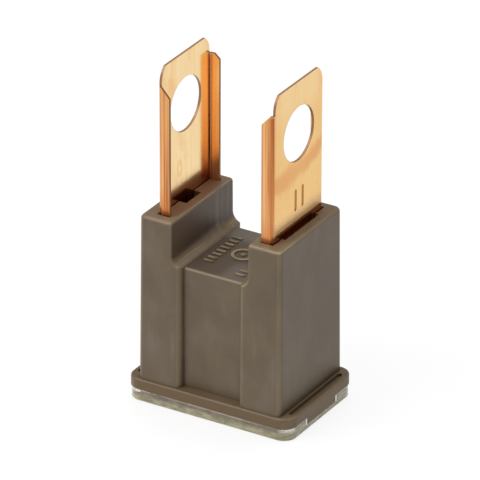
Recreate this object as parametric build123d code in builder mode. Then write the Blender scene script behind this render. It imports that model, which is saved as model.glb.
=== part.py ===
from build123d import *
import os

os.makedirs("parts", exist_ok=True)

# Bolt-down cartridge fuse, standing on its clear window with its two contact legs up.
# Millimetres. +Z runs to the leg tips, X across the two legs, origin at the middle of the window's underside.

# Contact legs: they set the size of the housing round them
LEG_SPAN = 12.2
LEG_WIDTH = 9.0
LEG_TOP = 33.7
HOLE_RADIUS = 2.7
SHEET = 0.25
LEG_OUTER_FACE = LEG_SPAN / 2

# Body: a drafted block that leaves a wall round the legs
END_WALL = 1.4
SIDE_WALL = 1.075
END_DRAFT = 0.1
SIDE_DRAFT = 0.15
PILLAR_TOP = 19.1
BODY_LENGTH_TOP = LEG_SPAN + 2 * END_WALL
BODY_DEPTH_TOP = LEG_WIDTH + 2 * SIDE_WALL
BODY_LENGTH_BOTTOM = BODY_LENGTH_TOP + 2 * END_DRAFT
BODY_DEPTH_BOTTOM = BODY_DEPTH_TOP + 2 * SIDE_DRAFT
BODY_CORNER_RADIUS = 0.6
BODY_EDGE_RADIUS = 0.4

# Rim round the foot of the body
RIM_END_STEP = 1.2
RIM_SIDE_STEP = 0.25
RIM_BOTTOM = 1.25
RIM_THICKNESS = 1.05
RIM_CORNER_RADIUS = 1.4
RIM_EDGE_RADIUS = 0.2
RIM_TOP = RIM_BOTTOM + RIM_THICKNESS
RIM_LENGTH = BODY_LENGTH_BOTTOM + 2 * RIM_END_STEP
RIM_DEPTH = BODY_DEPTH_BOTTOM + 2 * RIM_SIDE_STEP

# Groove in the rim along each end wall
GROOVE_WIDTH = 0.45
GROOVE_DEPTH = 0.25
GROOVE_FROM_WALL = 0.28
GROOVE_END_MARGIN = 1.35
GROOVE_LENGTH = RIM_DEPTH - 2 * GROOVE_END_MARGIN

# Gap between the pillars, and the narrower centre block under it
PILLAR_INNER_WALL = 2.05
SADDLE_DEPTH = 4.55
SADDLE_STEP = 0.06
SADDLE_FILLET = 1.1
SADDLE_EDGE_RADIUS = 0.3
CENTRE_END_STEP = 0.95
CENTRE_SIDE_STEP = 0.715
PILLAR_SIDE_RADIUS = 0.7
ROUNDING_OVERSHOOT = 0.004
CENTRE_EDGE_RADIUS = 0.3
PILLAR_INNER_HALF = LEG_OUTER_FACE - PILLAR_INNER_WALL
SADDLE_FLOOR = PILLAR_TOP - SADDLE_DEPTH
SADDLE_SHOULDER = SADDLE_FLOOR + SADDLE_STEP
CENTRE_HALF_LENGTH = PILLAR_INNER_HALF - CENTRE_END_STEP
CENTRE_HALF_DEPTH = BODY_DEPTH_TOP / 2 - CENTRE_SIDE_STEP

# Hollow of the housing, and the mouth that takes the cover's plug
ROOF_THICKNESS = 1.55
CAVITY_END_WALL = 1.05
CAVITY_SIDE_WALL = 1.075
CAVITY_NECK_STEP = 0.15
CENTRE_WALL = 0.86
CAVITY_CORNER_RADIUS = 0.3
MOUTH_END_STEP = 2.0
MOUTH_SIDE_STEP = 1.175
MOUTH_CORNER_RADIUS = 0.8
MOUTH_ROOF_STEP = 0.1
CAVITY_TOP = SADDLE_FLOOR - ROOF_THICKNESS
CAVITY_HALF_LENGTH = BODY_LENGTH_BOTTOM / 2 - CAVITY_END_WALL
CAVITY_HALF_DEPTH = BODY_DEPTH_BOTTOM / 2 - CAVITY_SIDE_WALL
CAVITY_NECK_HALF_LENGTH = PILLAR_INNER_HALF - CAVITY_NECK_STEP
CAVITY_NECK_HALF_DEPTH = CENTRE_HALF_DEPTH - CENTRE_WALL
MOUTH_LENGTH = RIM_LENGTH - 2 * MOUTH_END_STEP
MOUTH_DEPTH = RIM_DEPTH - 2 * MOUTH_SIDE_STEP
MOUTH_TOP = RIM_TOP - MOUTH_ROOF_STEP

# Lips, tips and holes of the legs
BEND_INNER = 0.2
BEND_OUTER = SHEET + BEND_INNER
LIP_REACH = 1.25
LIP_DROP = 1.8
FRONT_LIP_CHAMFER_WIDTH = 0.88
FRONT_LIP_CHAMFER_HEIGHT = 0.97
BACK_LIP_CHAMFER_WIDTH = 0.55
BACK_LIP_CHAMFER_HEIGHT = 0.5
LIP_FOOT = 1.2
TIP_SHOULDER = 1.1
TIP_CURVE_OUT = 0.6
TIP_CURVE_DOWN = 0.74
TIP_CURVE_FOOT = 0.2
TIP_FOOT_INSET = 0.33
HOLE_DROP = 5.2
LIP_TOP = LEG_TOP - LIP_DROP
LIP_BOTTOM = CAVITY_TOP + LIP_FOOT
TIP_HALF_WIDTH = LEG_WIDTH / 2 - TIP_SHOULDER
TIP_FOOT_HALF_WIDTH = LEG_WIDTH / 2 - TIP_FOOT_INSET
TIP_CURVE_BOTTOM = LIP_TOP + TIP_CURVE_FOOT
HOLE_HEIGHT = LEG_TOP - HOLE_DROP

# Inner legs, set in from the outer ones, and the fusible strip between them
INNER_LEG_STEP = 1.1
INNER_LEG_MARGIN = 2.0
STRIP_ABOVE_RIM = 0.9
STRIP_WIDTH = 1.8
STRIP_END_MARGIN = 1.8
STRIP_NECK_RADIUS = 0.6
INNER_LEG_FACE = LEG_OUTER_FACE - INNER_LEG_STEP
INNER_LEG_WIDTH = LEG_WIDTH - 2 * INNER_LEG_MARGIN
STRIP_HEIGHT = RIM_TOP + STRIP_ABOVE_RIM
STRIP_LENGTH = 2 * (INNER_LEG_FACE - STRIP_END_MARGIN)

# Slots and pockets for the legs in the pillar tops
SLOT_CLEARANCE = 0.08
BACK_POCKET_WIDTH = 0.42
BACK_POCKET_MARGIN = 1.5
POCKET_DEPTH = 2.6
FRONT_POCKET_REACH = 1.1
BEND_RELIEF = 0.35
BACK_POCKET_LENGTH = LEG_WIDTH - 2 * BACK_POCKET_MARGIN
POCKET_FLOOR = PILLAR_TOP - POCKET_DEPTH

# Locking lance of each leg, in the pocket inboard of the web
LANCE_WIDTH = 2.0
LANCE_DROP = 0.8
LANCE_OUT = 0.65
LANCE_KERF = 0.1
LANCE_ROOM = 0.3
LANCE_TOP = PILLAR_TOP - LANCE_DROP
LANCE_POCKET_LENGTH = LANCE_WIDTH + 2 * LANCE_ROOM

# Two plain strokes stamped low on the outer face of one leg
STROKE_LENGTH = 2.2
STROKE_WIDTH = 0.42
STROKE_DEPTH = 0.07
STROKE_SPACING = 1.25
STROKE_Y = 0.1
STROKE_ABOVE_PILLAR = 2.85

# Clear window cover
COVER_END_STEP = 0.08
COVER_SIDE_STEP = 0.12
COVER_CORNER_RADIUS = 1.3
COVER_EDGE_RADIUS = 0.1
PLATE_THICKNESS = 0.7
PLUG_CLEARANCE = 0.05
PLUG_WALL = 0.7
PLUG_TOP_GAP = 0.1
COVER_LENGTH = RIM_LENGTH - 2 * COVER_END_STEP
COVER_DEPTH = RIM_DEPTH - 2 * COVER_SIDE_STEP
PLUG_LENGTH = MOUTH_LENGTH - 2 * PLUG_CLEARANCE
PLUG_DEPTH = MOUTH_DEPTH - 2 * PLUG_CLEARANCE
PLUG_TOP = MOUTH_TOP - PLUG_TOP_GAP

# End tabs of the housing, which hook into the cover and leave its foot clear below them
TAB_WIDTH = 5.0
TAB_SET_BACK = 0.06
TAB_THICKNESS = 0.7
TAB_BOTTOM = 0.5
HOOK_HEIGHT = 0.35
HOOK_REACH = 0.3
HOOK_LIP = 0.1
TAB_CLEARANCE = 0.05
TAB_OUTER_FACE = RIM_LENGTH / 2 - TAB_SET_BACK
TAB_INNER_FACE = TAB_OUTER_FACE - TAB_THICKNESS
HOOK_TOP = TAB_BOTTOM + HOOK_HEIGHT
NOTCH_FLOOR = TAB_BOTTOM - TAB_CLEARANCE
NOTCH_WIDTH = TAB_WIDTH + 2 * TAB_CLEARANCE

# Tin pellet crimped on the strip
PELLET_LENGTH = 2.4
PELLET_OVERHANG = 0.45
PELLET_HEIGHT = 1.15
PELLET_EDGE_RADIUS = 0.3
PELLET_WIDTH = STRIP_WIDTH + 2 * PELLET_OVERHANG

# Plain raised marks on the saddle
MARK_HEIGHT = 0.12
RING_X = 0.3
RING_OUTER_RADIUS = 1.15
RING_INNER_RADIUS = 0.85
DOT_RADIUS = 0.25
BAR_LENGTH = 0.95
BAR_WIDTH = 0.3
BAR_SPACING = 0.75
BAR_COUNT = 8
BAR_ROW_MARGIN = 1.25
SHORT_ROW_END_MARGIN = 1.0
SHORT_ROW_SIDE_MARGIN = 1.66
SHORT_BAR_COUNT = 2
BAR_ROW_X = BAR_ROW_MARGIN - CENTRE_HALF_LENGTH
SHORT_ROW_X = CENTRE_HALF_LENGTH - SHORT_ROW_END_MARGIN
SHORT_ROW_Y = SHORT_ROW_SIDE_MARGIN - CENTRE_HALF_DEPTH

CUT_MARGIN = 1.0
NEAR = 0.1

# Housing
with BuildPart() as housing:
    with BuildSketch(Plane.XY.offset(RIM_BOTTOM)):
        RectangleRounded(RIM_LENGTH, RIM_DEPTH, RIM_CORNER_RADIUS)
    extrude(amount=RIM_TOP - RIM_BOTTOM)
    fillet(housing.edges().group_by(Axis.Z)[-1], RIM_EDGE_RADIUS)

    # Drafted body
    with BuildSketch(Plane.XY.offset(RIM_TOP)):
        RectangleRounded(BODY_LENGTH_BOTTOM, BODY_DEPTH_BOTTOM, BODY_CORNER_RADIUS)
    with BuildSketch(Plane.XY.offset(PILLAR_TOP)):
        RectangleRounded(BODY_LENGTH_TOP, BODY_DEPTH_TOP, BODY_CORNER_RADIUS)
    loft(ruled=True)
    fillet(housing.edges().group_by(Axis.Z)[-1], BODY_EDGE_RADIUS)

    # Gap between the pillars
    with BuildSketch(Plane.XZ) as gap_profile:
        with Locations((0, SADDLE_SHOULDER)):
            Rectangle(
                2 * PILLAR_INNER_HALF,
                PILLAR_TOP - SADDLE_SHOULDER + CUT_MARGIN,
                align=(Align.CENTER, Align.MIN),
            )
        fillet(gap_profile.vertices().group_by(Axis.Y)[0], SADDLE_FILLET)
    extrude(amount=BODY_DEPTH_BOTTOM, both=True, mode=Mode.SUBTRACT)
    gap_faces = housing.faces().filter_by(
        lambda f: abs(f.center().X) < PILLAR_INNER_HALF + NEAR
        and SADDLE_SHOULDER - NEAR < f.center().Z < PILLAR_TOP - NEAR
        and abs(f.center().Y) < NEAR
    )
    gap_rim = gap_faces.edges().filter_by(
        lambda e: abs(e.center().Y) > CENTRE_HALF_DEPTH or e.center().Z > PILLAR_TOP - NEAR
    )
    fillet(gap_rim, SADDLE_EDGE_RADIUS)

    # Centre block: stepped back front and rear between rounded pillar edges, with a slightly sunk floor
    for side in (1, -1):
        for height, wall in ((RIM_TOP, BODY_DEPTH_BOTTOM / 2), (PILLAR_TOP, BODY_DEPTH_TOP / 2)):
            mouth = wall + ROUNDING_OVERSHOOT
            with BuildSketch(Plane.XY.offset(height)):
                with BuildLine():
                    step = Polyline(
                        (-CENTRE_HALF_LENGTH, side * (mouth - PILLAR_SIDE_RADIUS)),
                        (-CENTRE_HALF_LENGTH, side * CENTRE_HALF_DEPTH),
                        (CENTRE_HALF_LENGTH, side * CENTRE_HALF_DEPTH),
                        (CENTRE_HALF_LENGTH, side * (mouth - PILLAR_SIDE_RADIUS)),
                    )
                    outside = Polyline(
                        (CENTRE_HALF_LENGTH + PILLAR_SIDE_RADIUS, side * mouth),
                        (CENTRE_HALF_LENGTH + PILLAR_SIDE_RADIUS, side * (mouth + CUT_MARGIN)),
                        (-CENTRE_HALF_LENGTH - PILLAR_SIDE_RADIUS, side * (mouth + CUT_MARGIN)),
                        (-CENTRE_HALF_LENGTH - PILLAR_SIDE_RADIUS, side * mouth),
                    )
                    RadiusArc(step @ 1, outside @ 0, side * PILLAR_SIDE_RADIUS)
                    RadiusArc(outside @ 1, step @ 0, side * PILLAR_SIDE_RADIUS)
                make_face()
        loft(ruled=True, mode=Mode.SUBTRACT)
    with BuildSketch(Plane.XY.offset(SADDLE_FLOOR)):
        Rectangle(2 * CENTRE_HALF_LENGTH, BODY_DEPTH_BOTTOM)
    extrude(amount=PILLAR_TOP - SADDLE_FLOOR, mode=Mode.SUBTRACT)
    centre_edges = housing.edges().filter_by(
        lambda e: abs(e.center().X) < NEAR
        and abs(abs(e.center().Y) - CENTRE_HALF_DEPTH) < NEAR
        and abs(e.center().Z - SADDLE_FLOOR) < NEAR
    )
    fillet(centre_edges, CENTRE_EDGE_RADIUS)

    # Grooves in the rim along the end walls
    with BuildSketch(Plane.XY.offset(RIM_TOP - GROOVE_DEPTH)):
        for side in (1, -1):
            with Locations((side * (BODY_LENGTH_BOTTOM / 2 + GROOVE_FROM_WALL + GROOVE_WIDTH / 2), 0)):
                SlotOverall(GROOVE_LENGTH, GROOVE_WIDTH, rotation=90)
    extrude(amount=GROOVE_DEPTH, mode=Mode.SUBTRACT)

    # End tabs with a hook at the foot
    with BuildSketch(Plane.XZ):
        with BuildLine():
            Polyline(
                (TAB_INNER_FACE, RIM_BOTTOM),
                (TAB_OUTER_FACE, RIM_BOTTOM),
                (TAB_OUTER_FACE, TAB_BOTTOM),
                (TAB_INNER_FACE, TAB_BOTTOM),
                (TAB_INNER_FACE - HOOK_REACH, HOOK_TOP - HOOK_LIP),
                (TAB_INNER_FACE - HOOK_REACH, HOOK_TOP),
                (TAB_INNER_FACE, HOOK_TOP),
                close=True,
            )
        make_face()
        mirror(about=Plane.YZ)
    extrude(amount=TAB_WIDTH / 2, both=True)

    # Hollow for the strip, and the mouth that takes the cover's plug
    with BuildSketch(Plane.XY.offset(RIM_BOTTOM)) as cavity:
        Rectangle(2 * CAVITY_HALF_LENGTH, 2 * CAVITY_NECK_HALF_DEPTH)
        for side in (1, -1):
            with Locations((side * (CAVITY_HALF_LENGTH + CAVITY_NECK_HALF_LENGTH) / 2, 0)):
                Rectangle(CAVITY_HALF_LENGTH - CAVITY_NECK_HALF_LENGTH, 2 * CAVITY_HALF_DEPTH)
        fillet(cavity.vertices(), CAVITY_CORNER_RADIUS)
    extrude(amount=CAVITY_TOP - RIM_BOTTOM, mode=Mode.SUBTRACT)
    with BuildSketch(Plane.XY.offset(RIM_BOTTOM)):
        RectangleRounded(MOUTH_LENGTH, MOUTH_DEPTH, MOUTH_CORNER_RADIUS)
    extrude(amount=MOUTH_TOP - RIM_BOTTOM, mode=Mode.SUBTRACT)

    # C-shaped slots for the legs, with a shallow pocket behind each web
    with BuildSketch(Plane.XY.offset(CAVITY_TOP)):
        with Locations((LEG_OUTER_FACE + SLOT_CLEARANCE, 0)):
            Rectangle(
                LIP_REACH + 2 * SLOT_CLEARANCE,
                LEG_WIDTH + 2 * SLOT_CLEARANCE,
                align=(Align.MAX, Align.CENTER),
            )
        with Locations((LEG_OUTER_FACE - SHEET - SLOT_CLEARANCE, 0)):
            Rectangle(
                LIP_REACH,
                LEG_WIDTH - 2 * SHEET - 2 * SLOT_CLEARANCE,
                align=(Align.MAX, Align.CENTER),
                mode=Mode.SUBTRACT,
            )
        mirror(about=Plane.YZ)
    extrude(amount=PILLAR_TOP - CAVITY_TOP, mode=Mode.SUBTRACT)
    with BuildSketch(Plane.XY.offset(POCKET_FLOOR)):
        with Locations((LEG_OUTER_FACE, 0)):
            Rectangle(BACK_POCKET_WIDTH, BACK_POCKET_LENGTH, align=(Align.MIN, Align.CENTER))
        with Locations((LEG_OUTER_FACE, 0)):
            Rectangle(FRONT_POCKET_REACH, LANCE_POCKET_LENGTH, align=(Align.MAX, Align.CENTER))
        mirror(about=Plane.YZ)
    extrude(amount=PILLAR_TOP - POCKET_FLOOR, mode=Mode.SUBTRACT)

    # Relief above the inner bend of each leg
    with BuildSketch(Plane.XY.offset(CAVITY_TOP)):
        with Locations((LEG_OUTER_FACE - SHEET, 0)):
            Rectangle(BEND_RELIEF, INNER_LEG_WIDTH + BEND_RELIEF, align=(Align.MAX, Align.CENTER))
        mirror(about=Plane.YZ)
    extrude(amount=BEND_RELIEF, mode=Mode.SUBTRACT)

    # Plain raised marks on the saddle: a ring with a dot, a row of bars and a short row of bars
    with BuildSketch(Plane.XY.offset(SADDLE_FLOOR)):
        with Locations((RING_X, 0)):
            Circle(RING_OUTER_RADIUS)
            Circle(RING_INNER_RADIUS, mode=Mode.SUBTRACT)
            Circle(DOT_RADIUS)
        with Locations((BAR_ROW_X, 0)):
            with GridLocations(0, BAR_SPACING, 1, BAR_COUNT):
                Rectangle(BAR_LENGTH, BAR_WIDTH)
        with Locations((SHORT_ROW_X, SHORT_ROW_Y)):
            with GridLocations(0, BAR_SPACING, 1, SHORT_BAR_COUNT):
                Rectangle(BAR_LENGTH, BAR_WIDTH)
    extrude(amount=MARK_HEIGHT)

# Fuse link: two channel legs joined by a narrow strip, folded from one sheet
with BuildPart() as fuse_link:
    with BuildSketch(Plane.XY.offset(LIP_BOTTOM)) as channel:
        with BuildLine():
            Polyline(
                (LEG_OUTER_FACE - LIP_REACH, -LEG_WIDTH / 2),
                (LEG_OUTER_FACE, -LEG_WIDTH / 2),
                (LEG_OUTER_FACE, LEG_WIDTH / 2),
                (LEG_OUTER_FACE - LIP_REACH, LEG_WIDTH / 2),
                (LEG_OUTER_FACE - LIP_REACH, LEG_WIDTH / 2 - SHEET),
                (LEG_OUTER_FACE - SHEET, LEG_WIDTH / 2 - SHEET),
                (LEG_OUTER_FACE - SHEET, SHEET - LEG_WIDTH / 2),
                (LEG_OUTER_FACE - LIP_REACH, SHEET - LEG_WIDTH / 2),
                close=True,
            )
        make_face()
        fillet(channel.vertices().group_by(Axis.X)[-1], BEND_OUTER)
        fillet(channel.vertices().group_by(Axis.X)[-2], BEND_INNER)
    extrude(amount=LIP_TOP - LIP_BOTTOM)

    # Sloped upper ends of the lips, with a smaller slope on the back lip
    with BuildSketch(Plane.XZ):
        with BuildLine():
            Polyline(
                (LEG_OUTER_FACE - LIP_REACH, LIP_TOP - FRONT_LIP_CHAMFER_HEIGHT),
                (LEG_OUTER_FACE - LIP_REACH + FRONT_LIP_CHAMFER_WIDTH, LIP_TOP),
                (LEG_OUTER_FACE - LIP_REACH, LIP_TOP),
                close=True,
            )
        make_face()
    extrude(amount=LEG_WIDTH, mode=Mode.SUBTRACT)
    with BuildSketch(Plane.XZ):
        with BuildLine():
            Polyline(
                (LEG_OUTER_FACE - LIP_REACH, LIP_TOP - BACK_LIP_CHAMFER_HEIGHT),
                (LEG_OUTER_FACE - LIP_REACH + BACK_LIP_CHAMFER_WIDTH, LIP_TOP),
                (LEG_OUTER_FACE - LIP_REACH, LIP_TOP),
                close=True,
            )
        make_face()
    extrude(amount=-LEG_WIDTH, mode=Mode.SUBTRACT)

    # Flat tip with curved corners, and the bolt hole
    with BuildSketch(Plane.YZ.offset(LEG_OUTER_FACE - SHEET)):
        with BuildLine():
            top = Line((-TIP_HALF_WIDTH, LEG_TOP), (TIP_HALF_WIDTH, LEG_TOP))
            sides = Polyline(
                (TIP_FOOT_HALF_WIDTH, TIP_CURVE_BOTTOM),
                (TIP_FOOT_HALF_WIDTH, LIP_TOP),
                (-TIP_FOOT_HALF_WIDTH, LIP_TOP),
                (-TIP_FOOT_HALF_WIDTH, TIP_CURVE_BOTTOM),
            )
            ThreePointArc(
                top @ 1, (TIP_HALF_WIDTH + TIP_CURVE_OUT, LEG_TOP - TIP_CURVE_DOWN), sides @ 0
            )
            ThreePointArc(
                sides @ 1, (-TIP_HALF_WIDTH - TIP_CURVE_OUT, LEG_TOP - TIP_CURVE_DOWN), top @ 0
            )
        make_face()
    extrude(amount=SHEET)
    with BuildSketch(Plane.YZ.offset(LEG_OUTER_FACE - SHEET)):
        with Locations((0, HOLE_HEIGHT)):
            Circle(HOLE_RADIUS)
    extrude(amount=SHEET, mode=Mode.SUBTRACT)

    # Inner leg, set in under the roof of the hollow, and half of the strip
    with BuildSketch(Plane.XZ) as inner_leg:
        with BuildLine():
            Polyline(
                (LEG_OUTER_FACE - SHEET, LIP_BOTTOM + SHEET),
                (LEG_OUTER_FACE, LIP_BOTTOM + SHEET),
                (LEG_OUTER_FACE, CAVITY_TOP - SHEET),
                (INNER_LEG_FACE, CAVITY_TOP - SHEET),
                (INNER_LEG_FACE, STRIP_HEIGHT),
                (0, STRIP_HEIGHT),
                (0, STRIP_HEIGHT + SHEET),
                (INNER_LEG_FACE - SHEET, STRIP_HEIGHT + SHEET),
                (INNER_LEG_FACE - SHEET, CAVITY_TOP),
                (LEG_OUTER_FACE - SHEET, CAVITY_TOP),
                close=True,
            )
        make_face()
        outer_bends = (
            Vector(LEG_OUTER_FACE, CAVITY_TOP - SHEET),
            Vector(INNER_LEG_FACE - SHEET, CAVITY_TOP),
            Vector(INNER_LEG_FACE, STRIP_HEIGHT),
        )
        inner_bends = (
            Vector(LEG_OUTER_FACE - SHEET, CAVITY_TOP),
            Vector(INNER_LEG_FACE, CAVITY_TOP - SHEET),
            Vector(INNER_LEG_FACE - SHEET, STRIP_HEIGHT + SHEET),
        )
        outer_corners = inner_leg.vertices().filter_by(
            lambda v: min((v.center() - bend).length for bend in outer_bends) < NEAR
        )
        inner_corners = inner_leg.vertices().filter_by(
            lambda v: min((v.center() - bend).length for bend in inner_bends) < NEAR
        )
        fillet(outer_corners, BEND_OUTER)
        fillet(inner_corners, BEND_INNER)
    extrude(amount=INNER_LEG_WIDTH / 2, both=True)

    # Locking lance, cut from the web and bent inwards until its end stands on the pocket's floor
    with BuildSketch(Plane.YZ.offset(LEG_OUTER_FACE - SHEET)):
        with Locations((0, POCKET_FLOOR)):
            Rectangle(
                LANCE_WIDTH + 2 * LANCE_KERF,
                LANCE_TOP - POCKET_FLOOR,
                align=(Align.CENTER, Align.MIN),
            )
    extrude(amount=SHEET, mode=Mode.SUBTRACT)
    with BuildSketch(Plane.XZ):
        with BuildLine():
            Polyline(
                (LEG_OUTER_FACE - SHEET, LANCE_TOP),
                (LEG_OUTER_FACE, LANCE_TOP),
                (LEG_OUTER_FACE - LANCE_OUT, POCKET_FLOOR),
                (LEG_OUTER_FACE - LANCE_OUT - SHEET, POCKET_FLOOR),
                close=True,
            )
        make_face()
    extrude(amount=LANCE_WIDTH / 2, both=True)
    mirror(about=Plane.YZ)

    # Stamped strokes
    with BuildSketch(Plane.YZ.offset(LEG_OUTER_FACE - STROKE_DEPTH)):
        with Locations((STROKE_Y, PILLAR_TOP + STROKE_ABOVE_PILLAR)):
            with GridLocations(STROKE_SPACING, 0, 2, 1):
                SlotOverall(STROKE_LENGTH, STROKE_WIDTH, rotation=90)
    extrude(amount=STROKE_DEPTH, mode=Mode.SUBTRACT)

    # Strip narrowed to its fusible middle
    with BuildSketch(Plane.XY.offset(STRIP_HEIGHT)) as necks:
        for side in (1, -1):
            with Locations((0, side * (STRIP_WIDTH + INNER_LEG_WIDTH) / 4)):
                Rectangle(STRIP_LENGTH, (INNER_LEG_WIDTH - STRIP_WIDTH) / 2)
        neck_corners = necks.vertices().filter_by(
            lambda v: abs(v.Y) < (STRIP_WIDTH + INNER_LEG_WIDTH) / 4
        )
        fillet(neck_corners, STRIP_NECK_RADIUS)
    extrude(amount=SHEET, mode=Mode.SUBTRACT)

# Tin pellet, crimped round the middle of the strip
with BuildPart() as tin_pellet:
    with Locations((0, 0, STRIP_HEIGHT + SHEET / 2)):
        Box(PELLET_LENGTH, PELLET_WIDTH, PELLET_HEIGHT)
        fillet(tin_pellet.edges(), PELLET_EDGE_RADIUS)
        Box(PELLET_LENGTH, STRIP_WIDTH, SHEET, mode=Mode.SUBTRACT)

# Clear window cover: a plate with a raised border, and a plug ring that stands in the housing's mouth
with BuildPart() as window_cover:
    with BuildSketch():
        RectangleRounded(COVER_LENGTH, COVER_DEPTH, COVER_CORNER_RADIUS)
    extrude(amount=RIM_BOTTOM)
    fillet(window_cover.edges().group_by(Axis.Z)[0], COVER_EDGE_RADIUS)
    with BuildSketch(Plane.XY.offset(RIM_BOTTOM)):
        RectangleRounded(PLUG_LENGTH, PLUG_DEPTH, MOUTH_CORNER_RADIUS - PLUG_CLEARANCE)
    extrude(amount=PLUG_TOP - RIM_BOTTOM)
    with BuildSketch(Plane.XY.offset(PLATE_THICKNESS)):
        Rectangle(PLUG_LENGTH - 2 * PLUG_WALL, PLUG_DEPTH - 2 * PLUG_WALL)
    extrude(amount=PLUG_TOP - PLATE_THICKNESS, mode=Mode.SUBTRACT)

    # Notches for the housing's end tabs, undercut at the foot where the hooks reach in
    with BuildSketch(Plane.XY.offset(NOTCH_FLOOR)):
        with Locations((TAB_INNER_FACE - TAB_CLEARANCE, 0)):
            Rectangle(CUT_MARGIN, NOTCH_WIDTH, align=(Align.MIN, Align.CENTER))
        mirror(about=Plane.YZ)
    extrude(amount=RIM_BOTTOM - NOTCH_FLOOR, mode=Mode.SUBTRACT)
    with BuildSketch(Plane.XY.offset(NOTCH_FLOOR)):
        with Locations((TAB_INNER_FACE - HOOK_REACH - TAB_CLEARANCE, 0)):
            Rectangle(CUT_MARGIN, NOTCH_WIDTH, align=(Align.MIN, Align.CENTER))
        mirror(about=Plane.YZ)
    extrude(amount=HOOK_TOP - NOTCH_FLOOR, mode=Mode.SUBTRACT)

housing.part.label = "housing"
fuse_link.part.label = "fuse_link"
tin_pellet.part.label = "tin_pellet"
window_cover.part.label = "window_cover"

export_step(housing.part, "parts/housing.step")
export_step(fuse_link.part, "parts/fuse_link.step")
export_step(tin_pellet.part, "parts/tin_pellet.step")
export_step(window_cover.part, "parts/window_cover.step")
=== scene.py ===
import math

import bpy
from mathutils import Matrix, Vector


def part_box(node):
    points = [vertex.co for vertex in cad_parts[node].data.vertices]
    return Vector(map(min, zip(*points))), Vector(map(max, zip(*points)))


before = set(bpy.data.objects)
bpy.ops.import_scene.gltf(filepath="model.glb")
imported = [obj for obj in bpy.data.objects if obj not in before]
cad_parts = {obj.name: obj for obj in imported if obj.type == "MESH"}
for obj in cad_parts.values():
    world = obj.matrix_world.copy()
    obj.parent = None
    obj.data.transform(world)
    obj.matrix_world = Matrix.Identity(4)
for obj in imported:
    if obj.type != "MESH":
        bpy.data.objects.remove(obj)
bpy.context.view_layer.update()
scene = bpy.context.scene
scene.view_settings.view_transform = "Standard"

# Camera at the photograph's viewing angle, with TARGET at TARGET_PIXEL of the picture
AZIMUTH = math.radians(30.87)
ELEVATION = math.radians(26.97)
ROLL = math.radians(0.18)
DISTANCE = 0.6
PIXELS_PER_METRE = 10930.0
FRAME_PIXELS = 480.0
SENSOR_WIDTH = 36.0
TARGET = Vector((0.0, 0.0, 0.017))
TARGET_PIXEL = (240.56, 230.91)

back = Vector(
    (
        math.sin(AZIMUTH) * math.cos(ELEVATION),
        -math.cos(AZIMUTH) * math.cos(ELEVATION),
        math.sin(ELEVATION),
    )
)
right = Vector((math.cos(AZIMUTH), math.sin(AZIMUTH), 0.0))
up = back.cross(right)
turned_right = right * math.cos(ROLL) + up * math.sin(ROLL)
turned_up = up * math.cos(ROLL) - right * math.sin(ROLL)
camera_data = bpy.data.cameras.new("camera")
camera_data.sensor_width = SENSOR_WIDTH
camera_data.lens = SENSOR_WIDTH * PIXELS_PER_METRE * DISTANCE / FRAME_PIXELS
camera_data.shift_x = (FRAME_PIXELS / 2 - TARGET_PIXEL[0]) / FRAME_PIXELS
camera_data.shift_y = (TARGET_PIXEL[1] - FRAME_PIXELS / 2) / FRAME_PIXELS
camera_data.clip_start = 0.01
camera_data.clip_end = 20.0
camera = bpy.data.objects.new("camera", camera_data)
place = Matrix((turned_right, turned_up, back)).transposed().to_4x4()
place.translation = TARGET + back * DISTANCE
camera.matrix_world = place
scene.collection.objects.link(camera)
scene.camera = camera


def reach(node):
    """How far a node of the part reaches along +X, +Y and +Z, in millimetres."""
    return [1000.0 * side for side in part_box(node)[1]]


# Places on the part that the materials follow, in millimetres
WEB_OUTSIDE, LEG_SIDE, LEG_TOP = reach("fuse_link")
RIM_END, RIM_SIDE, PILLAR_TOP = reach("housing")
COVER_END, COVER_SIDE = reach("window_cover")[:2]
RIM_BOTTOM = 1.25
RIM_TOP = RIM_BOTTOM + 1.05
SADDLE_FLOOR = PILLAR_TOP - 4.55
HOLE_HEIGHT = LEG_TOP - 5.2
HOLE_RADIUS = 2.7
LIP_TOP = LEG_TOP - 1.8
LIP_EDGE = WEB_OUTSIDE - 1.25
WEB_INSIDE = WEB_OUTSIDE - 0.25
BEND_X = WEB_OUTSIDE - 0.45
BEND_Y = LEG_SIDE - 0.45
CENTRE_END = WEB_OUTSIDE - 3.0
BODY_END = RIM_END - 1.2
GROOVE_INSIDE = BODY_END + 0.28
GROOVE_OUTSIDE = GROOVE_INSIDE + 0.45
TAB_SIDE = 2.5
SPOT_Y = -1.1
SPOT_HEIGHT = PILLAR_TOP + 3.2
STROKE_SIDE = 1.4
STROKE_BOTTOM = PILLAR_TOP + 1.4
STROKE_TOP = PILLAR_TOP + 4.4


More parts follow.
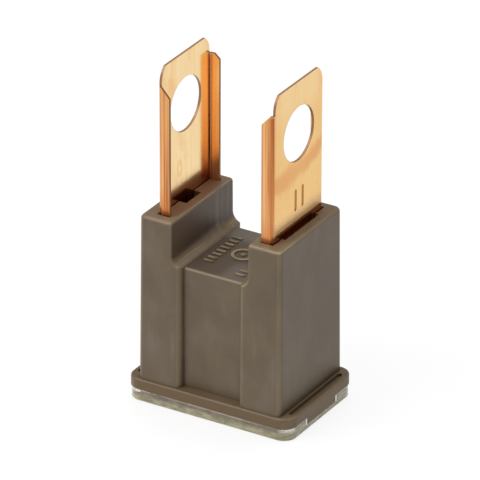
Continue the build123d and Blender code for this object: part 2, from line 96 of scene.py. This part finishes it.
class Nodes:
    """A material's node tree with short ways to add and join nodes."""

    def __init__(self, name):
        self.material = bpy.data.materials.new(name)
        self.material.use_nodes = True
        self.tree = self.material.node_tree
        self.tree.nodes.clear()
        self.output = self.tree.nodes.new("ShaderNodeOutputMaterial")

    def add(self, kind, **settings):
        node = self.tree.nodes.new(kind)
        for key, value in settings.items():
            setattr(node, key, value)
        return node

    def put(self, socket, value):
        """Joins the socket to another node's output, or sets it to a plain value."""
        if isinstance(value, bpy.types.NodeSocket):
            self.tree.links.new(value, socket)
        else:
            socket.default_value = value

    def math(self, operation, a, b=None, c=None):
        node = self.add("ShaderNodeMath", operation=operation)
        self.put(node.inputs[0], a)
        if b is not None:
            self.put(node.inputs[1], b)
        if c is not None:
            self.put(node.inputs[2], c)
        return node.outputs[0]

    def smooth(self, value, low, high):
        """A smooth step from 0 at low to 1 at high, where low may be the larger of the two."""
        node = self.add("ShaderNodeMapRange", interpolation_type="SMOOTHSTEP")
        self.put(node.inputs["Value"], value)
        node.inputs["From Min"].default_value = low
        node.inputs["From Max"].default_value = high
        return node.outputs[0]

    def mix(self, factor, a, b):
        """Colour a at factor 0 and b at 1. The node's colour sockets are 6, 7 and output 2."""
        node = self.add("ShaderNodeMix", data_type="RGBA")
        self.put(node.inputs["Factor"], factor)
        self.put(node.inputs[6], a)
        self.put(node.inputs[7], b)
        return node.outputs[2]

    def noise(self, vector, scale, detail=3.0, roughness=0.55):
        node = self.add("ShaderNodeTexNoise")
        self.put(node.inputs["Vector"], vector)
        node.inputs["Scale"].default_value = scale
        node.inputs["Detail"].default_value = detail
        node.inputs["Roughness"].default_value = roughness
        return node.outputs["Fac"]

    def place(self, stretch=(1.0, 1.0, 1.0)):
        """The place in metres, for noise. A stretch under 1 draws the marks out along that axis."""
        coordinates = self.add("ShaderNodeTexCoord")
        mapping = self.add("ShaderNodeMapping")
        self.put(mapping.inputs["Vector"], coordinates.outputs["Object"])
        mapping.inputs["Scale"].default_value = stretch
        return mapping.outputs["Vector"]

    def split(self, vector):
        node = self.add("ShaderNodeSeparateXYZ")
        self.put(node.inputs[0], vector)
        return node.outputs

    def axes(self):
        """The place in millimetres, and how far it is from the middle along X and across in Y."""
        metres = self.split(self.add("ShaderNodeTexCoord").outputs["Object"])
        x, y, z = [self.math("MULTIPLY", part, 1000.0) for part in metres]
        return x, y, z, self.math("ABSOLUTE", x), self.math("ABSOLUTE", y)

    def facing(self, kind="Normal"):
        """The three parts of the surface's normal."""
        return self.split(self.add("ShaderNodeNewGeometry").outputs[kind])

    def times(self, first, *rest):
        for factor in rest:
            first = self.math("MULTIPLY", first, factor)
        return first

    def largest(self, first, *rest):
        for other in rest:
            first = self.math("MAXIMUM", first, other)
        return first

    def distance(self, a, b):
        return self.math("SQRT", self.math("ADD", self.times(a, a), self.times(b, b)))

    def band(self, value, low, high, soft):
        """1 between low and high, fading out over soft on both sides."""
        rise = self.smooth(value, low - soft, low)
        fall = self.smooth(value, high + soft, high)
        return self.math("MULTIPLY", rise, fall)

    def bump(self, height, strength, distance, normal=None):
        node = self.add("ShaderNodeBump")
        node.inputs["Strength"].default_value = strength
        node.inputs["Distance"].default_value = distance
        self.put(node.inputs["Height"], height)
        if normal is not None:
            self.put(node.inputs["Normal"], normal)
        return node.outputs[0]

    def principled(self, **sockets):
        """The material's shader, where a socket's name has _ for each space."""
        shader = self.add("ShaderNodeBsdfPrincipled")
        for key, value in sockets.items():
            self.put(shader.inputs[key.replace("_", " ")], value)
        self.put(self.output.inputs["Surface"], shader.outputs[0])
        return shader


def brown_plastic():
    """Satin moulded brown plastic: fine grain, a faintly uneven colour, lighter edges of wear and painted
    highlight, and painted shade and light in places.
    """
    n = Nodes("brown_plastic")
    where = n.place()
    cloud = n.noise(where, 240.0, 4.0)
    fine = n.noise(where, 5200.0, 2.0)
    colour = n.mix(n.smooth(cloud, 0.3, 0.72), (0.118, 0.084, 0.050, 1), (0.140, 0.102, 0.062, 1))
    colour = n.mix(n.times(n.smooth(fine, 0.58, 0.76), 0.25), colour, (0.19, 0.14, 0.085, 1))
    normal = n.facing()
    flat = n.largest(*[n.math("ABSOLUTE", part) for part in normal])
    x, y, z, along, across = n.axes()
    mottle = n.noise(n.place((1.0, 1.0, 0.5)), 800.0, 3.0)

    # Lighter edges and raised marks, part wear and part painted highlight, and the small step at the
    # saddle floor painted light against its shade; all take their colour further down
    above_rim = n.math("MULTIPLY_ADD", n.smooth(z, RIM_TOP, RIM_TOP + 0.3), 0.5, 0.5)
    wear_and_highlight = n.times(n.smooth(flat, 0.985, 0.87), n.math("MULTIPLY_ADD", cloud, 0.7, 0.15), above_rim)
    between = n.math("LESS_THAN", along, CENTRE_END - 0.01)
    marks = n.times(between, n.band(z, SADDLE_FLOOR + 0.05, SADDLE_FLOOR + 0.13, 0.04))
    marks = n.times(marks, n.math("MULTIPLY_ADD", n.smooth(mottle, 0.40, 0.62), 0.7, 0.2))
    step = n.band(along, CENTRE_END - 0.02, CENTRE_END + 0.02, 0.02)
    step = n.times(step, n.band(z, SADDLE_FLOOR + 0.01, SADDLE_FLOOR + 0.05, 0.02))
    wear_and_highlight = n.largest(wear_and_highlight, marks, step)

    # Mottled colour with streaks and smudges, and a warmer rim
    colour = n.mix(n.times(n.smooth(mottle, 0.45, 0.75), 0.5), colour, (0.150, 0.118, 0.088, 1))
    streaks = n.noise(n.place((1.0, 1.0, 0.12)), 900.0, 3.0)
    smudges = n.noise(n.place((1.0, 1.0, 0.6)), 170.0, 2.0)
    streaks = n.times(n.smooth(streaks, 0.48, 0.75), n.smooth(smudges, 0.40, 0.65))
    colour = n.mix(n.times(streaks, 0.8), colour, (0.165, 0.135, 0.100, 1))
    colour = n.mix(n.times(n.smooth(smudges, 0.50, 0.30), 0.45), colour, (0.098, 0.068, 0.040, 1))
    colour = n.mix(n.smooth(z, RIM_TOP + 0.3, RIM_TOP - 0.3), colour, (0.138, 0.088, 0.040, 1))

    # Painted shade in the rim's groove, and a dark line of painted shade at the foot of the end walls
    groove_shade = n.band(along, GROOVE_INSIDE - 0.02, GROOVE_OUTSIDE + 0.02, 0.01)
    groove_shade = n.times(groove_shade, n.band(z, RIM_TOP - 0.27, RIM_TOP - 0.02, 0.01))
    foot_shade = n.times(n.band(along, BODY_END - 0.10, BODY_END + 0.12, 0.06), 0.45)
    foot_shade = n.times(foot_shade, n.smooth(z, RIM_TOP + 0.6, RIM_TOP + 0.1))
    foot_shade = n.times(foot_shade, n.smooth(across, RIM_SIDE - 0.175, RIM_SIDE - 0.375))
    foot_shade = n.times(foot_shade, n.math("GREATER_THAN", z, RIM_TOP - 0.1))
    painted_shade = n.largest(n.times(groove_shade, 0.4), foot_shade)
    colour = n.mix(painted_shade, colour, (0.030, 0.022, 0.015, 1))

    # Saddle floor: painted shade, with a greyer painted reflection at the back and in the front corner at
    # +X
    floor = n.times(between, n.band(z, SADDLE_FLOOR - 0.05, SADDLE_FLOOR + 0.03, 0.1))
    floor = n.times(floor, n.smooth(normal[2], 0.5, 0.9))
    lit_corner = n.times(n.smooth(x, 0.0, 1.2), n.smooth(y, -1.0, -2.4), 0.6)
    pale_reflection = n.largest(n.smooth(y, 1.8, 3.4), lit_corner)
    shade = n.mix(pale_reflection, (0.068, 0.050, 0.036, 1), (0.122, 0.102, 0.082, 1))
    colour = n.mix(n.times(floor, 0.95), colour, shade)

    # Pillar walls over the saddle: painted shade, dark and reddish and darker lower down, with pale
    # streaks towards the back
    rear = n.smooth(y, -1.0, 2.0)
    inward = n.math("MULTIPLY", normal[0], n.math("SIGN", x))
    inward = n.smooth(n.math("MULTIPLY_ADD", rear, -0.25, inward), -0.30, -0.70)
    risen = n.math("MULTIPLY_ADD", rear, 0.4, z)
    risen = n.smooth(risen, SADDLE_FLOOR + 0.05, SADDLE_FLOOR + 0.65)
    wall_shade = n.times(inward, risen, n.math("GREATER_THAN", along, CENTRE_END - 0.2))
    shade = n.smooth(z, PILLAR_TOP - 1.1, SADDLE_FLOOR + 1.05)
    shade = n.mix(shade, (0.108, 0.072, 0.050, 1), (0.084, 0.054, 0.036, 1))
    pale = n.noise(n.place((1.0, 1.0, 0.06)), 1300.0, 2.0)
    pale = n.times(n.smooth(pale, 0.50, 0.66), n.smooth(y, -1.0, 3.5), 0.7)
    colour = n.mix(n.times(wall_shade, 0.9), colour, n.mix(pale, shade, (0.17, 0.135, 0.115, 1)))

    # Painted light on the warmer pillar tops, edges lighter from wear and painted highlight, and painted
    # highlights on the palest cores of the upper edges
    top = n.smooth(z, PILLAR_TOP - 0.5, PILLAR_TOP - 0.1)
    top = n.times(top, n.math("MULTIPLY_ADD", mottle, 0.9, 0.1))
    colour = n.mix(top, colour, (0.185, 0.122, 0.066, 1))
    colour = n.mix(wear_and_highlight, colour, (0.24, 0.175, 0.105, 1))
    edge_highlight = n.times(n.smooth(flat, 0.80, 0.72), n.smooth(normal[2], 0.3, 0.5), n.smooth(cloud, 0.35, 0.6))
    raised = n.smooth(z, SADDLE_FLOOR + 0.45, SADDLE_FLOOR + 1.45)
    edge_highlight = n.times(edge_highlight, above_rim, n.math("MULTIPLY_ADD", raised, 0.5, 0.3))
    colour = n.mix(edge_highlight, colour, (0.40, 0.32, 0.22, 1))

    # Warmer plastic inside the channels and in the outer slots, as if lit by the copper
    warm = n.band(along, LIP_EDGE - 0.25, WEB_OUTSIDE + 0.3, 0.3)
    warm = n.times(warm, n.smooth(z, PILLAR_TOP - 1.1, PILLAR_TOP - 0.2))
    warm = n.times(warm, n.smooth(across, LEG_SIDE + 0.1, LEG_SIDE - 0.5), 0.65)
    colour = n.mix(warm, colour, (0.19, 0.085, 0.04, 1))
    slot = n.band(along, WEB_OUTSIDE + 0.05, WEB_OUTSIDE + 0.5, 0.04)
    slot = n.times(slot, n.band(z, PILLAR_TOP - 3.1, PILLAR_TOP - 0.1, 0.04))
    slot = n.times(slot, n.smooth(across, LEG_SIDE + 0.1, LEG_SIDE - 0.3), 0.8)
    colour = n.mix(slot, colour, (0.45, 0.22, 0.12, 1))

    grain = n.bump(fine, 0.10, 0.00002)
    shader = n.principled(
        Base_Color=colour,
        Roughness=n.math("MULTIPLY_ADD", cloud, 0.14, 0.36),
        Normal=n.bump(n.noise(where, 420.0, 2.0), 0.08, 0.00006, grain),
    )
    shader.inputs["IOR"].default_value = 1.5
    shader.inputs["Specular IOR Level"].default_value = 0.35
    return n.material


def copper_alloy():
    """Rolled copper alloy: pale stained webs, redder lips, painted dim reflections along the bends and at
    the feet, brown cut edges and strokes.
    """
    n = Nodes("copper_alloy")
    x, y, z, along, across = n.axes()
    at_right = n.smooth(x, 0.0, 1.0)
    below_tip = n.smooth(z, LIP_TOP + 0.1, LIP_TOP - 0.3)
    normal = n.facing("True Normal")
    lines = n.noise(n.place((1.0, 1.0, 0.02)), 5200.0, 3.0)
    bands = n.noise(n.place((1.0, 1.0, 0.012)), 2100.0, 2.0)
    patches = n.noise(n.place((1.0, 1.0, 0.55)), 330.0, 4.0, 0.6)
    specks = n.noise(n.place(), 2600.0, 2.0)

    # Webs: pale, and more golden on the leg at +X
    pale = n.mix(n.smooth(lines, 0.3, 0.75), (0.86, 0.62, 0.31, 1), (0.90, 0.68, 0.37, 1))
    golden = n.math("MULTIPLY_ADD", n.smooth(z, LIP_TOP + 0.6, HOLE_HEIGHT + 0.5), 0.4, 0.4)
    pale = n.mix(n.times(at_right, golden), pale, (0.80, 0.49, 0.17, 1))

    # Orange stains: a slanting one below the hole at +X, a ring-shaped spot at -X, and blotches
    rise = n.times(n.math("POWER", n.largest(y, 0.0), 2.0), 0.05)
    height = n.math("MULTIPLY_ADD", patches, 3.0, n.math("SUBTRACT", z, rise))
    below_hole = n.times(n.band(height, HOLE_HEIGHT - 2.4, HOLE_HEIGHT - 1.8, 1.2), at_right)
    below_hole = n.times(below_hole, n.math("MULTIPLY_ADD", n.smooth(across, 0.2, 3.0), 0.2, 0.8))
    spot = n.distance(n.math("SUBTRACT", y, SPOT_Y), n.times(n.math("SUBTRACT", z, SPOT_HEIGHT), 0.5))
    spot = n.band(n.math("MULTIPLY_ADD", patches, 0.4, spot), 0.45, 0.58, 0.18)
    spot = n.times(spot, n.smooth(x, 0.0, -1.0), n.smooth(normal[0], 0.0, 0.5))
    beside = n.times(n.smooth(across, 2.6, 4.2), 0.55, n.smooth(patches, 0.30, 0.62))
    blotches = n.times(n.smooth(patches, 0.50, 0.72), 0.6)
    stain = n.largest(beside, below_hole, n.times(spot, 0.5), blotches)
    pale = n.mix(stain, pale, (0.80, 0.43, 0.16, 1))
    pale = n.mix(n.times(below_hole, 0.45), pale, (0.62, 0.27, 0.07, 1))

    # Inner web faces: redder beside the back bend, where the lip is mirrored
    mirrored = n.smooth(n.math("MULTIPLY", normal[0], x), 0.0, -1.0)
    mirrored = n.times(mirrored, n.smooth(y, 2.7, 3.2), below_tip, 0.8)
    ruddy = n.largest(n.smooth(y, 3.4, 4.2), n.smooth(z, HOLE_HEIGHT + 0.5, HOLE_HEIGHT - 6.0))
    ruddy = n.mix(ruddy, (1.0, 0.56, 0.28, 1), (0.84, 0.36, 0.15, 1))
    pale = n.mix(mirrored, pale, ruddy)

    # Painted dark, redder reflection of the plastic at the feet of the webs, and brown specks
    foot_shade = n.smooth(z, PILLAR_TOP + 2.5, PILLAR_TOP + 0.1)
    foot_shade = n.times(foot_shade, n.math("MULTIPLY_ADD", patches, 0.9, 0.3))
    foot_shade = n.times(foot_shade, n.math("MULTIPLY_ADD", at_right, -0.6, 1.0))
    pale = n.mix(foot_shade, pale, (0.50, 0.18, 0.07, 1))
    pale = n.mix(n.times(n.smooth(specks, 0.66, 0.74), 0.35), pale, (0.60, 0.30, 0.12, 1))

    # Lips: redder outside with dark and light streaks, more orange inside, and painted shade near their
    # feet and in the inner fold
    red = n.mix(n.smooth(lines, 0.35, 0.7), (0.64, 0.26, 0.09, 1), (0.78, 0.40, 0.15, 1))
    red = n.mix(n.times(n.smooth(bands, 0.50, 0.60), 0.85), red, (0.46, 0.13, 0.04, 1))
    red = n.mix(n.times(n.smooth(bands, 0.42, 0.34), 0.6), red, (0.90, 0.56, 0.31, 1))
    raised = n.smooth(z, HOLE_HEIGHT - 4.5, HOLE_HEIGHT + 1.5)
    red = n.mix(n.times(raised, 0.35), red, (0.78, 0.40, 0.15, 1))
    lip_foot_shade = n.smooth(z, PILLAR_TOP + 3.4, PILLAR_TOP + 0.4)
    red = n.mix(n.times(lip_foot_shade, 0.5), red, (0.60, 0.18, 0.05, 1))
    inside = n.math("LESS_THAN", n.math("MULTIPLY", normal[1], y), 0.0)
    orange = n.mix(n.smooth(bands, 0.35, 0.65), (0.97, 0.45, 0.13, 1), (0.99, 0.62, 0.23, 1))
    low = n.math("MULTIPLY_ADD", patches, 6.0, z)
    low = n.smooth(low, HOLE_HEIGHT - 1.0, HOLE_HEIGHT - 7.0)
    orange = n.mix(n.times(low, 0.55), orange, (0.58, 0.19, 0.08, 1))
    fold_shade = n.smooth(along, WEB_INSIDE - 0.40, WEB_INSIDE - 0.17)
    fold_shade = n.times(fold_shade, n.math("MULTIPLY_ADD", patches, 0.3, 0.05))
    orange = n.mix(fold_shade, orange, (0.40, 0.09, 0.04, 1))
    red = n.mix(inside, red, orange)
    on_lip = n.smooth(along, WEB_INSIDE - 0.02, WEB_INSIDE - 0.10)
    on_lip = n.largest(on_lip, n.smooth(across, LEG_SIDE - 0.5, LEG_SIDE - 0.1))
    lip = n.times(on_lip, n.smooth(z, LIP_TOP + 0.3, LIP_TOP - 0.3))
    colour = n.mix(lip, pale, red)

    # Painted dark reflections along the bends, outside and inside
    bend_reflection = n.band(across, LEG_SIDE - 0.22, LEG_SIDE - 0.06, 0.05)
    bend_reflection = n.times(bend_reflection, n.math("GREATER_THAN", along, WEB_INSIDE - 0.25))
    bend_reflection = n.times(bend_reflection, below_tip, n.smooth(bands, 0.25, 0.6))
    turn = n.distance(n.math("SUBTRACT", along, BEND_X), n.math("SUBTRACT", across, BEND_Y))
    turn = n.math("LESS_THAN", turn, 0.25)
    turn = n.times(turn, n.math("GREATER_THAN", along, BEND_X + 0.01))
    turn = n.times(turn, n.math("GREATER_THAN", across, BEND_Y + 0.01))
    bend_reflection = n.largest(bend_reflection, n.times(turn, below_tip, 0.7))
    colour = n.mix(n.times(bend_reflection, 0.8), colour, (0.34, 0.08, 0.03, 1))

    # Cut edges and stamped strokes
    from_hole = n.distance(n.math("SUBTRACT", z, HOLE_HEIGHT), y)
    hole_edge = n.math("LESS_THAN", from_hole, HOLE_RADIUS + 0.02)
    tip_edge = n.math("LESS_THAN", n.math("ABSOLUTE", normal[0]), 0.7)
    tip_edge = n.times(tip_edge, n.math("GREATER_THAN", z, LIP_TOP - 0.02))
    lip_edge = n.math("LESS_THAN", along, LIP_EDGE + 0.02)
    lip_edge = n.times(lip_edge, n.math("GREATER_THAN", z, SADDLE_FLOOR - 0.35))
    cut = n.largest(hole_edge, tip_edge, lip_edge)
    colour = n.mix(n.times(cut, 0.9), colour, (0.24, 0.11, 0.05, 1))
    stroke = n.band(x, WEB_OUTSIDE - 0.1, WEB_OUTSIDE - 0.01, 0.005)
    stroke = n.times(stroke, n.math("LESS_THAN", across, STROKE_SIDE))
    stroke = n.times(stroke, n.band(z, STROKE_BOTTOM, STROKE_TOP, 0.1))
    colour = n.mix(n.times(stroke, 0.5), colour, (0.56, 0.26, 0.10, 1))

    # Foot of the outer web at +X: a narrow band of painted shadow, and a duller strip above it
    outer = n.times(at_right, n.smooth(normal[0], 0.5, 0.9))
    ragged = n.math("MULTIPLY_ADD", patches, 0.2, z)
    painted_shade = n.times(outer, n.band(ragged, PILLAR_TOP, PILLAR_TOP + 0.72, 0.16))
    colour = n.mix(n.times(painted_shade, 0.7), colour, (0.36, 0.14, 0.07, 1))
    dull = n.times(outer, n.band(z, PILLAR_TOP + 0.7, PILLAR_TOP + 1.1, 1.0))
    dull = n.times(dull, n.math("SUBTRACT", 1.0, painted_shade))

    # The feet of the lips' inner faces are duller too
    dull_lip = n.times(inside, lip, n.smooth(z, PILLAR_TOP + 3.4, PILLAR_TOP + 0.9), 0.6)
    dull = n.largest(dull, dull_lip)
    roughness = n.math("MULTIPLY_ADD", patches, 0.12, n.math("MULTIPLY_ADD", lip, 0.10, 0.10))
    n.principled(
        Base_Color=colour,
        Roughness=n.math("MULTIPLY_ADD", n.largest(cut, stroke), 0.25, roughness),
        Normal=n.bump(bands, 0.10, 0.00002, n.bump(lines, 0.08, 0.00001)),
        Metallic=n.math("MULTIPLY_ADD", dull, -0.75, n.math("MULTIPLY_ADD", cut, -0.7, 1.0)),
    )
    return n.material


def clear_plastic():
    """Clear moulded plastic, tinted yellow-green, with flow marks, seam lines and painted highlights at
    its corners and notches.
    """
    n = Nodes("clear_plastic")
    where = n.place()
    x, y, z, along, across = n.axes()
    normal = n.facing()
    wave = n.noise(where, 500.0, 2.0)
    flow = n.noise(n.place((1.0, 1.0, 3.0)), 1100.0, 4.0, 0.65)

    # Green below, brown above as a painted view of the rim through the plastic, and ends made paler by
    # painted light
    green = n.mix(n.smooth(flow, 0.32, 0.68), (0.44, 0.40, 0.23, 1), (0.86, 0.80, 0.52, 1))
    brown = n.mix(n.smooth(flow, 0.32, 0.68), (0.30, 0.24, 0.17, 1), (0.46, 0.375, 0.27, 1))
    at_end = n.smooth(n.math("ABSOLUTE", normal[0]), 0.5, 0.9)
    height = n.math("MULTIPLY_ADD", wave, 0.25, z)
    turn = n.math("MULTIPLY_ADD", at_end, -0.20, height)
    colour = n.mix(n.smooth(turn, RIM_BOTTOM - 0.63, RIM_BOTTOM - 0.27), green, brown)
    colour = n.mix(n.times(at_end, 0.25), colour, (0.66, 0.64, 0.50, 1))

    # White lines and spots: seam lines, and painted highlights at the corners, on the notches' sides and
    # one glint
    seam = n.times(n.band(height, RIM_BOTTOM - 0.41, RIM_BOTTOM - 0.38, 0.04), 0.3)
    seam = n.largest(seam, n.band(z, RIM_BOTTOM - 0.18, RIM_BOTTOM + 0.05, 0.03))
    seam = n.times(seam, n.math("MULTIPLY_ADD", n.smooth(flow, 0.35, 0.60), 0.7, 0.3))
    lit_corner = n.smooth(along, COVER_END - 1.37, COVER_END - 0.82)
    lit_corner = n.times(lit_corner, n.smooth(across, COVER_SIDE - 1.45, COVER_SIDE - 0.90))
    lit_corner = n.times(lit_corner, n.smooth(z, RIM_BOTTOM - 0.65, RIM_BOTTOM - 0.10))
    lit_corner = n.times(lit_corner, n.smooth(flow, 0.30, 0.50))
    notch_highlight = n.smooth(along, COVER_END - 0.77, COVER_END - 0.42)
    notch_highlight = n.times(notch_highlight, n.band(across, TAB_SIDE, TAB_SIDE + 0.25, 0.1))
    notch_highlight = n.times(notch_highlight, n.band(z, RIM_BOTTOM - 0.70, RIM_BOTTOM + 0.05, 0.1))
    glint = n.band(x, -BODY_END - 0.1, -BODY_END + 0.3, 0.15)
    glint = n.times(glint, n.band(z, RIM_BOTTOM - 0.30, RIM_BOTTOM - 0.10, 0.08))
    glint = n.times(glint, n.math("LESS_THAN", y, 0.85 - COVER_SIDE))
    white = n.largest(n.times(seam, 0.5), lit_corner, notch_highlight, glint)
    colour = n.mix(white, colour, (0.86, 0.84, 0.78, 1))

    # The window's flat faces are clear
    flat = n.smooth(n.math("ABSOLUTE", normal[2]), 0.6, 0.9)
    colour = n.mix(flat, colour, (0.93, 0.93, 0.84, 1))
    see_through = n.largest(n.times(flat, 0.95), n.math("MULTIPLY_ADD", white, -0.45, 0.5))
    shader = n.principled(
        Base_Color=colour,
        Roughness=n.math("MULTIPLY_ADD", n.noise(where, 900.0, 3.0), 0.12, 0.06),
        Transmission_Weight=see_through,
        Normal=n.bump(wave, 0.15, 0.00005),
    )
    shader.inputs["IOR"].default_value = 1.5
    tint = n.add("ShaderNodeVolumeAbsorption")
    tint.inputs["Color"].default_value = (0.62, 0.60, 0.38, 1)
    tint.inputs["Density"].default_value = 150.0
    n.put(n.output.inputs["Volume"], tint.outputs[0])
    return n.material


def dull_tin():
    """Crimped tin, dull grey with soft mottling."""
    n = Nodes("dull_tin")
    where = n.place()
    mottle = n.noise(where, 900.0, 4.0)
    colour = n.mix(n.smooth(mottle, 0.3, 0.7), (0.52, 0.51, 0.48, 1), (0.70, 0.69, 0.66, 1))
    shader = n.principled(
        Base_Color=colour,
        Roughness=n.math("MULTIPLY_ADD", mottle, 0.2, 0.35),
        Normal=n.bump(mottle, 0.3, 0.00003),
    )
    shader.inputs["Metallic"].default_value = 1.0
    return n.material


for name, material in (
    ("housing", brown_plastic()),
    ("fuse_link", copper_alloy()),
    ("window_cover", clear_plastic()),
    ("tin_pellet", dull_tin()),
):
    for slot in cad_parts[name].material_slots:
        slot.material = material


# Share of the floor's look that comes from plain white, and the rest is lit and shaded
FLOOR_WHITE = 0.80


def pale_floor():
    """White floor that looks nearly white to the camera and still takes the object's shadow."""
    n = Nodes("pale_floor")
    rays = n.add("ShaderNodeLightPath")
    speckle = n.noise(n.place(), 160.0, 3.0)
    colour = n.mix(n.smooth(speckle, 0.2, 0.8), (0.86, 0.86, 0.86, 1), (0.90, 0.90, 0.90, 1))
    matt = n.add("ShaderNodeBsdfDiffuse")
    n.put(matt.inputs["Color"], colour)
    white = n.add("ShaderNodeEmission")
    white.inputs["Strength"].default_value = 1.0
    direct = [rays.outputs["Is " + kind + " Ray"] for kind in ("Camera", "Glossy", "Transmission")]
    blend = n.add("ShaderNodeMixShader")
    n.put(blend.inputs["Fac"], n.times(n.largest(*direct), FLOOR_WHITE))
    n.put(blend.inputs[1], matt.outputs[0])
    n.put(blend.inputs[2], white.outputs[0])
    n.put(n.output.inputs["Surface"], blend.outputs[0])
    return n.material


# A hair below the window's underside, so that the two faces don't coincide
FLOOR_GAP = 0.00002
FLOOR_REACH = 3.0
corners = [(x * FLOOR_REACH, y * FLOOR_REACH, -FLOOR_GAP) for x, y in ((-1, -1), (1, -1), (1, 1), (-1, 1))]
floor_mesh = bpy.data.meshes.new("floor")
floor_mesh.from_pydata(corners, [], [(0, 1, 2, 3)])
floor_mesh.materials.append(pale_floor())
floor = bpy.data.objects.new("floor", floor_mesh)
scene.collection.objects.link(floor)


def lamp(name, azimuth, elevation, size, watts, distance=0.45):
    """A square soft box that faces the middle of the fuse from an angle round it."""
    data = bpy.data.lights.new(name, "AREA")
    data.shape = "SQUARE"
    data.size = size
    data.energy = watts
    a, e = math.radians(azimuth), math.radians(elevation)
    direction = Vector((math.sin(a) * math.cos(e), -math.cos(a) * math.cos(e), math.sin(e)))
    light = bpy.data.objects.new(name, data)
    light.location = TARGET + direction * distance
    light.rotation_euler = direction.to_track_quat("Z", "Y").to_euler()
    scene.collection.objects.link(light)


lamp("key", azimuth=-35.0, elevation=45.0, size=0.30, watts=1.15)
lamp("top", azimuth=180.0, elevation=80.0, size=0.40, watts=1.9)

# The world is white where it is seen, also through clear plastic, and dimmer as a light
WORLD_SEEN = 1.0
WORLD_LIGHT = 0.3
world = bpy.data.worlds.new("world")
world.use_nodes = True
nodes = world.node_tree.nodes
links = world.node_tree.links
background = nodes["Background"]
path = nodes.new("ShaderNodeLightPath")
seen = nodes.new("ShaderNodeMath")
seen.operation = "MAXIMUM"
links.new(path.outputs["Is Camera Ray"], seen.inputs[0])
links.new(path.outputs["Is Transmission Ray"], seen.inputs[1])
level = nodes.new("ShaderNodeMapRange")
links.new(seen.outputs[0], level.inputs["Value"])
level.inputs["To Min"].default_value = WORLD_LIGHT
level.inputs["To Max"].default_value = WORLD_SEEN
links.new(level.outputs[0], background.inputs["Strength"])
background.inputs["Color"].default_value = (1.0, 1.0, 1.0, 1.0)
scene.world = world
